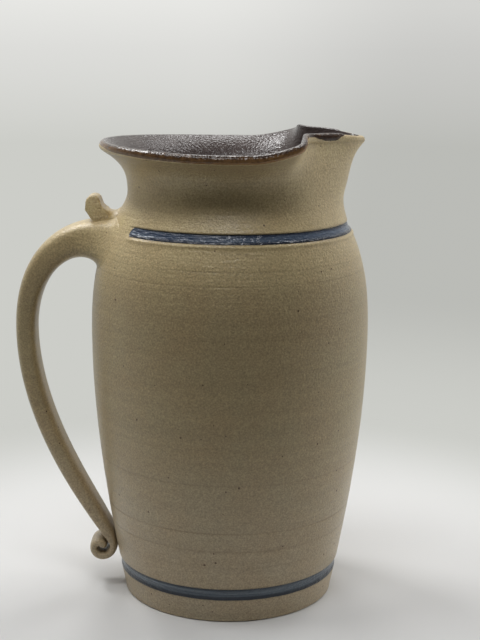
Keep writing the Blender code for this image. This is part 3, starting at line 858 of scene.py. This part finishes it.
def salt_glazed_stoneware(name):
    """Grey-tan clay under a thin salt glaze, once fired.

    The eye gets a warm sandy ground, mottled in patches and grained like fine sand, a few iron specks, level
    streaks from the wheel, greyer clay towards the foot, paler clay from the shoulder up that is partly
    painted light, painted shade in the rib lines and along the bands, an iron-brown tint below the lip that
    is partly painted shade under the flared rim, and an orange-peel skin that breaks up the gloss.
    """
    material, tree, shader = new_surface(name)
    place = add_node(tree, "ShaderNodeTexCoord").outputs["Object"]
    height = add_node(tree, "ShaderNodeSeparateXYZ", {0: place}).outputs["Z"]
    patches, sand, peel = [
        add_node(
            tree, "ShaderNodeTexNoise",
            {"Vector": place, "Scale": per(size), "Detail": detail, "Roughness": rough},
        )
        for size, detail, rough in ((0.024, 3.0, 0.55), (0.0009, 2.0, 0.6), (0.0012, 2.0, 0.6))
    ]
    level = add_node(tree, "ShaderNodeMapping", {"Vector": place, "Scale": (6.0, 6.0, per(0.0032))})
    streaks = add_node(
        tree, "ShaderNodeTexNoise",
        {"Vector": level.outputs[0], "Scale": 1.0, "Detail": 2.0, "Roughness": 0.6},
    )
    specks = add_node(tree, "ShaderNodeTexVoronoi", {"Vector": place, "Scale": per(0.0058)})
    speck_size = add_node(tree, "ShaderNodeSeparateColor", {"Color": specks.outputs["Color"]})
    reach = add_node(
        tree, "ShaderNodeMapRange",
        {"Value": speck_size.outputs[0], "From Min": 0.3, "To Min": 0.0, "To Max": 0.11},
    )
    speck = add_node(
        tree, "ShaderNodeMath", {0: specks.outputs["Distance"], 1: reach.outputs[0]}, operation="LESS_THAN"
    )
    foot = add_node(
        tree, "ShaderNodeMapRange",
        {"Value": height, "From Min": 0.02, "From Max": 0.12, "To Min": 1.0, "To Max": 0.0},
        interpolation_type="SMOOTHSTEP",
    )
    # Paler, warmer clay from the shoulder up: partly a paler glaze tone, partly painted light on the top of
    # the pot and the handle
    neck = add_node(
        tree, "ShaderNodeMapRange", {"Value": height, "From Min": 0.165, "From Max": 0.205},
        interpolation_type="SMOOTHSTEP",
    )
    patch = add_node(
        tree, "ShaderNodeMapRange",
        {"Value": patches.outputs[0], "From Min": 0.35, "From Max": 0.65, "To Min": 0.0, "To Max": 0.26},
    )
    # Painted shade in the rib lines and along the band edges, carried by the pot's attribute
    lines = add_node(tree, "ShaderNodeAttribute", attribute_name="painted_line_shade")
    dark_tone = add_node(
        tree, "ShaderNodeMath", {0: lines.outputs["Fac"], 1: 0.45}, operation="MULTIPLY", use_clamp=True
    )
    # Iron-brown tint below the lip, partly painted shade under the flared rim
    iron = add_node(tree, "ShaderNodeAttribute", attribute_name="iron")
    stain_and_shade = add_node(
        tree, "ShaderNodeMath", {0: iron.outputs["Fac"], 1: 0.5}, operation="MULTIPLY", use_clamp=True
    )
    colour = linear("#A59571")
    for share, over, blend in (
        (foot.outputs[0], linear("#AA9B7F"), "MIX"),
        (neck.outputs[0], linear("#C8B588"), "MIX"),
        (patch.outputs[0], linear("#A58962"), "MIX"),
        (0.11, streaks.outputs[0], "OVERLAY"),
        (0.68, sand.outputs[0], "OVERLAY"),
        (speck.outputs[0], linear("#5E4A33"), "MIX"),
        (dark_tone.outputs[0], linear("#66573D"), "MIX"),
        (stain_and_shade.outputs[0], linear("#6B563D"), "MIX"),
    ):
        layer = add_node(
            tree, "ShaderNodeMix", {SHARE: share, FIRST: colour, SECOND: over},
            data_type="RGBA", blend_type=blend,
        )
        colour = layer.outputs[BLEND]
    gloss = add_node(
        tree, "ShaderNodeMapRange",
        {"Value": sand.outputs[0], "From Min": 0.3, "From Max": 0.7, "To Min": 0.34, "To Max": 0.5},
    )
    turned = add_node(tree, "ShaderNodeMapping", {"Vector": place, "Scale": (60.0, 60.0, per(0.0014))})
    fine_lines = add_node(
        tree, "ShaderNodeTexNoise",
        {"Vector": turned.outputs[0], "Scale": 1.0, "Detail": 1.0, "Roughness": 0.5},
    )
    relief = add_node(
        tree, "ShaderNodeMath", {0: fine_lines.outputs[0], 1: 0.5, 2: peel.outputs[0]},
        operation="MULTIPLY_ADD",
    )
    skin = add_node(
        tree, "ShaderNodeBump", {"Strength": 1.0, "Distance": 0.00036, "Height": relief.outputs[0]}
    )
    shader.inputs["Coat Weight"].default_value = 0.2
    shader.inputs["Coat Roughness"].default_value = 0.08
    tree.links.new(skin.outputs[0], shader.inputs["Coat Normal"])
    tree.links.new(colour, shader.inputs["Base Color"])
    tree.links.new(gloss.outputs[0], shader.inputs["Roughness"])
    tree.links.new(skin.outputs[0], shader.inputs["Normal"])
    return material


def dark_slip_glaze():
    """A runny iron slip glaze, fired glossy.

    The eye gets a purplish grey-black that sparkles where its dimpled skin turns to the light, and breaks to
    rusty brown where it runs thin over the lip.
    """
    material, tree, shader = new_surface("dark_slip_glaze")
    place = add_node(tree, "ShaderNodeTexCoord").outputs["Object"]
    pools, breaks, dimples = [
        add_node(
            tree, "ShaderNodeTexNoise",
            {"Vector": place, "Scale": per(size), "Detail": detail, "Roughness": rough},
        )
        for size, detail, rough in ((0.007, 3.0, 0.6), (0.0022, 2.0, 0.6), (0.0013, 1.5, 0.55))
    ]
    dark_tone = add_node(
        tree, "ShaderNodeMix",
        {SHARE: pools.outputs[0], FIRST: linear("#3B3230"), SECOND: linear("#5A504D")}, data_type="RGBA",
    )
    thin = add_node(tree, "ShaderNodeAttribute", attribute_name="rust")
    ragged = add_node(
        tree, "ShaderNodeMath", {0: breaks.outputs[0], 1: 0.9, 2: -0.45}, operation="MULTIPLY_ADD"
    )
    rust = add_node(
        tree, "ShaderNodeMath", {0: thin.outputs["Fac"], 1: ragged.outputs[0]},
        operation="ADD", use_clamp=True,
    )
    broken = add_node(
        tree, "ShaderNodeMix",
        {SHARE: rust.outputs[0], FIRST: linear("#35241A"), SECOND: linear("#A0784A")}, data_type="RGBA",
    )
    lip = add_node(tree, "ShaderNodeAttribute", attribute_name="lip_brown")
    colour = add_node(
        tree, "ShaderNodeMix",
        {SHARE: lip.outputs["Fac"], FIRST: dark_tone.outputs[BLEND], SECOND: broken.outputs[BLEND]},
        data_type="RGBA",
    )
    stretched = add_node(
        tree, "ShaderNodeMapRange", {"Value": lip.outputs["Fac"], "To Min": 1.0, "To Max": 0.8}
    )
    skin = add_node(
        tree, "ShaderNodeBump",
        {"Strength": stretched.outputs[0], "Distance": 0.00045, "Height": dimples.outputs[0]},
    )
    gloss = add_node(
        tree, "ShaderNodeMapRange", {"Value": lip.outputs["Fac"], "To Min": 0.17, "To Max": 0.10}
    )
    shader.inputs["Specular IOR Level"].default_value = 0.36
    tree.links.new(gloss.outputs[0], shader.inputs["Roughness"])
    tree.links.new(colour.outputs[BLEND], shader.inputs["Base Color"])
    tree.links.new(skin.outputs[0], shader.inputs["Normal"])
    return material


def cobalt_slip(name, deep, pale, share, dark_tone, wet):
    """Cobalt slip brushed on the turning pot, under salt glaze.

    The eye gets a deep blue with paler drag lines that follow the groove, darker along both edges, partly
    from slip pooling there and partly painted shade, with small wet glints drawn out along the middle and a
    sandy grain.
    """
    material, tree, shader = new_surface(name)
    place = add_node(tree, "ShaderNodeTexCoord").outputs["Object"]
    level = add_node(tree, "ShaderNodeMapping", {"Vector": place, "Scale": (14.0, 14.0, per(0.0011))})
    drag = add_node(
        tree, "ShaderNodeTexNoise",
        {"Vector": level.outputs[0], "Scale": 1.0, "Detail": 3.0, "Roughness": 0.6},
    )
    sand = add_node(
        tree, "ShaderNodeTexNoise", {"Vector": place, "Scale": per(0.0014), "Detail": 2.0, "Roughness": 0.6}
    )
    thin = add_node(
        tree, "ShaderNodeMapRange",
        {"Value": drag.outputs[0], "From Min": 0.38, "From Max": 0.68, "To Min": 0.0, "To Max": share},
    )
    # Darker along both edges of the band: slip pooling there, and painted shade under the groove's upper
    # side
    across = add_node(tree, "ShaderNodeAttribute", attribute_name="across")
    centred = add_node(tree, "ShaderNodeMath", {0: across.outputs["Fac"], 1: 0.56}, operation="SUBTRACT")
    off_middle = add_node(tree, "ShaderNodeMath", {0: centred.outputs[0]}, operation="ABSOLUTE")
    edge = add_node(
        tree, "ShaderNodeMapRange", {"Value": off_middle.outputs[0], "From Min": 0.14, "From Max": 0.46},
        interpolation_type="SMOOTHSTEP",
    )
    colour = linear(deep)
    for cover, over, blend in (
        (thin.outputs[0], linear(pale), "MIX"),
        (edge.outputs[0], linear(dark_tone), "MIX"),
        (0.3, sand.outputs[0], "OVERLAY"),
    ):
        layer = add_node(
            tree, "ShaderNodeMix", {SHARE: cover, FIRST: colour, SECOND: over},
            data_type="RGBA", blend_type=blend,
        )
        colour = layer.outputs[BLEND]
    dashes = add_node(
        tree, "ShaderNodeMapping", {"Vector": place, "Scale": (per(0.005), per(0.005), per(0.0009))}
    )
    ripples = add_node(
        tree, "ShaderNodeTexNoise",
        {"Vector": dashes.outputs[0], "Scale": 1.0, "Detail": 1.0, "Roughness": 0.5},
    )
    relief = add_node(
        tree, "ShaderNodeMath", {0: ripples.outputs[0], 1: 1.5, 2: sand.outputs[0]}, operation="MULTIPLY_ADD"
    )
    skin = add_node(
        tree, "ShaderNodeBump", {"Strength": 1.0, "Distance": 0.00040, "Height": relief.outputs[0]}
    )
    shader.inputs["Roughness"].default_value = wet
    tree.links.new(colour, shader.inputs["Base Color"])
    tree.links.new(skin.outputs[0], shader.inputs["Normal"])
    return material


def seen_rays(tree):
    """1 for what is looked at straight on, in a gloss or through a clear body, and 0 for thrown light."""
    rays = add_node(tree, "ShaderNodeLightPath")
    seen = rays.outputs["Is Camera Ray"]
    for kind in ("Is Glossy Ray", "Is Transmission Ray"):
        either = add_node(tree, "ShaderNodeMath", {0: seen, 1: rays.outputs[kind]}, operation="MAXIMUM")
        seen = either.outputs[0]
    return seen


def side_light(tree, sideways):
    """How much darker the surround is on its right than on its left and in its middle."""
    node = add_node(
        tree, "ShaderNodeMapRange",
        {"Value": sideways, "From Min": -0.04, "From Max": 0.14, "To Max": -0.18},
        interpolation_type="SMOOTHSTEP",
    )
    return node.outputs[0]


def pale_paper():
    """Matt pale paper under the pot, which passes into the pale surround a short way off.

    Past its front the camera alone finds it, so that it throws no light up at the pot.
    """
    material, tree, shader = new_surface("pale_paper")
    place = add_node(tree, "ShaderNodeTexCoord").outputs["Object"]
    distance = add_node(tree, "ShaderNodeVectorMath", {0: place}, operation="LENGTH").outputs["Value"]
    shader.inputs["Base Color"].default_value = linear("#DADAD9")
    shader.inputs["Roughness"].default_value = 0.9
    shader.inputs["Specular IOR Level"].default_value = 0.1
    far = add_node(
        tree, "ShaderNodeMapRange", {"Value": distance, "From Min": 0.14, "From Max": 0.35},
        interpolation_type="SMOOTHSTEP",
    )
    share = add_node(tree, "ShaderNodeMath", {0: far.outputs[0], 1: seen_rays(tree)}, operation="MULTIPLY")
    nearness = add_node(tree, "ShaderNodeMath", {0: 1.0, 1: distance}, operation="DIVIDE")
    depth = add_node(
        tree, "ShaderNodeMapRange", {"Value": nearness.outputs[0], "From Min": 0.32, "From Max": 0.036},
    )
    surround = add_node(
        tree, "ShaderNodeMix",
        {SHARE: depth.outputs[0], FIRST: linear(SURROUND_NEAR), SECOND: linear(SURROUND_FAR)},
        data_type="RGBA",
    )
    parts = add_node(tree, "ShaderNodeSeparateXYZ", {0: place})
    sideways = add_node(tree, "ShaderNodeMath", {0: parts.outputs["X"], 1: distance}, operation="DIVIDE")
    tilt = add_node(
        tree, "ShaderNodeMapRange", {"Value": distance, "From Min": 0.3, "From Max": 0.9},
        interpolation_type="SMOOTHSTEP",
    )
    level = add_node(
        tree, "ShaderNodeMath", {0: tilt.outputs[0], 1: side_light(tree, sideways.outputs[0]), 2: 1.0},
        operation="MULTIPLY_ADD",
    )
    glow = add_node(
        tree, "ShaderNodeEmission", {"Color": surround.outputs[BLEND], "Strength": level.outputs[0]}
    )
    blend = add_node(
        tree, "ShaderNodeMixShader", {0: share.outputs[0], 1: shader.outputs[0], 2: glow.outputs[0]}
    )
    front = add_node(
        tree, "ShaderNodeMath", {0: parts.outputs["Y"], 1: -PAPER_FRONT}, operation="LESS_THAN"
    )
    looked_at = add_node(tree, "ShaderNodeLightPath").outputs["Is Camera Ray"]
    opened = add_node(
        tree, "ShaderNodeMath", {0: front.outputs[0], 1: looked_at}, operation="SUBTRACT", use_clamp=True
    )
    clear = add_node(tree, "ShaderNodeBsdfTransparent")
    sheet = add_node(
        tree, "ShaderNodeMixShader", {0: opened.outputs[0], 1: blend.outputs[0], 2: clear.outputs[0]}
    )
    tree.links.new(sheet.outputs[0], tree.nodes["Material Output"].inputs["Surface"])
    return material


def make_floor():
    """A wide sheet of paper, level with the foot."""
    builder = bmesh.new()
    bmesh.ops.create_grid(builder, x_segments=1, y_segments=1, size=PAPER_HALF_SIZE)
    mesh = bpy.data.meshes.new("paper_floor")
    builder.to_mesh(mesh)
    builder.free()
    mesh.materials.append(pale_paper())
    paper = bpy.data.objects.new("paper_floor", mesh)
    bpy.context.collection.objects.link(paper)


def make_lamp(name, place, size, power, glints):
    """A softbox that shines from its place on the pot, and isn't seen itself, except in glints."""
    lamp = bpy.data.lights.new(name, "AREA")
    lamp.shape = "RECTANGLE"
    lamp.size, lamp.size_y = size
    lamp.energy = power
    box = bpy.data.objects.new(name, lamp)
    box.location = place
    box.rotation_mode = "QUATERNION"
    box.rotation_quaternion = (POT_MIDDLE - Vector(place)).to_track_quat("-Z", "Y")
    box.visible_camera = False
    box.visible_glossy = glints
    bpy.context.collection.objects.link(box)


def make_surround():
    """A white tent; the gloss finds its front and sides dim, and it throws less light than it shows."""
    world = bpy.data.worlds.new("white_tent")
    world.use_nodes = True
    tree = world.node_tree
    way = add_node(tree, "ShaderNodeTexCoord").outputs["Generated"]
    parts = add_node(tree, "ShaderNodeSeparateXYZ", {0: way})
    behind = add_node(
        tree, "ShaderNodeMapRange",
        {"Value": parts.outputs["Y"], "From Min": -0.1, "From Max": 0.5, "To Min": SURROUND_FRONT},
        interpolation_type="SMOOTHSTEP",
    )
    level = add_node(tree, "ShaderNodeMapRange", {"Value": seen_rays(tree), "To Min": SURROUND_LIGHT})
    rise = add_node(
        tree, "ShaderNodeMapRange",
        {"Value": parts.outputs["Z"], "From Min": -0.011, "From Max": 0.02, "To Min": 1.0, "To Max": 1.1},
    )
    off_middle = add_node(tree, "ShaderNodeMath", {0: parts.outputs["X"]}, operation="ABSOLUTE")
    beside = add_node(
        tree, "ShaderNodeMapRange",
        {"Value": off_middle.outputs[0], "From Min": 0.3, "From Max": 0.85, "To Min": 1.0, "To Max": 0.55},
    )
    rays = add_node(tree, "ShaderNodeLightPath")
    mirrored = add_node(
        tree, "ShaderNodeMath", {0: behind.outputs[0], 1: beside.outputs[0]}, operation="MULTIPLY"
    )
    shown = add_node(
        tree, "ShaderNodeMath", {0: mirrored.outputs[0], 1: rays.outputs["Is Camera Ray"]},
        operation="MAXIMUM",
    )
    even = level.outputs[0]
    for share in (rise, shown):
        product = add_node(tree, "ShaderNodeMath", {0: even, 1: share.outputs[0]}, operation="MULTIPLY")
        even = product.outputs[0]
    lit = add_node(
        tree, "ShaderNodeMath",
        {0: even, 1: side_light(tree, parts.outputs["X"]), 2: even}, operation="MULTIPLY_ADD",
    )
    ground = tree.nodes["Background"]
    ground.inputs["Color"].default_value = linear(SURROUND_FAR)
    tree.links.new(lit.outputs[0], ground.inputs["Strength"])
    bpy.context.scene.world = world


def make_camera():
    """The photograph's place, height and turn, with no shift."""
    lens = bpy.data.cameras.new("camera")
    lens.sensor_width = CAMERA_SENSOR
    lens.lens = CAMERA_LENS
    camera = bpy.data.objects.new("camera", lens)
    tilt = Matrix.Rotation(math.pi / 2.0 - CAMERA_TILT, 4, "X")
    roll = Matrix.Rotation(CAMERA_ROLL, 4, "Z")
    camera.matrix_world = Matrix.Translation(CAMERA_PLACE) @ tilt @ roll
    bpy.context.collection.objects.link(camera)
    bpy.context.scene.camera = camera


def main():
    """Set the stage, then make every piece of the pot."""
    make_camera()
    make_floor()
    make_surround()
    for lamp in LAMPS:
        make_lamp(*lamp)
    bpy.context.scene.view_settings.view_transform = "Standard"
    make_pot(salt_glazed_stoneware("salt_glazed_stoneware"))
    make_handle(salt_glazed_stoneware("salt_glazed_strap"))
    make_thumb_rest(salt_glazed_stoneware("salt_glazed_tongue"))
    make_lining(dark_slip_glaze())
    # Deep, pale and edge colours of each slip, then its roughness; the edge colour is partly painted shade
    upper = cobalt_slip("cobalt_slip_upper", "#323F57", "#687789", 0.8, "#1D2432", 0.13)
    lower = cobalt_slip("cobalt_slip_lower", "#3F4954", "#6F7B85", 0.9, "#282E37", 0.28)
    make_band("upper_blue_band", SHOULDER_BAND, upper, "shoulder_band")
    make_band("lower_blue_band", FOOT_BAND, lower, "foot_band")


main()
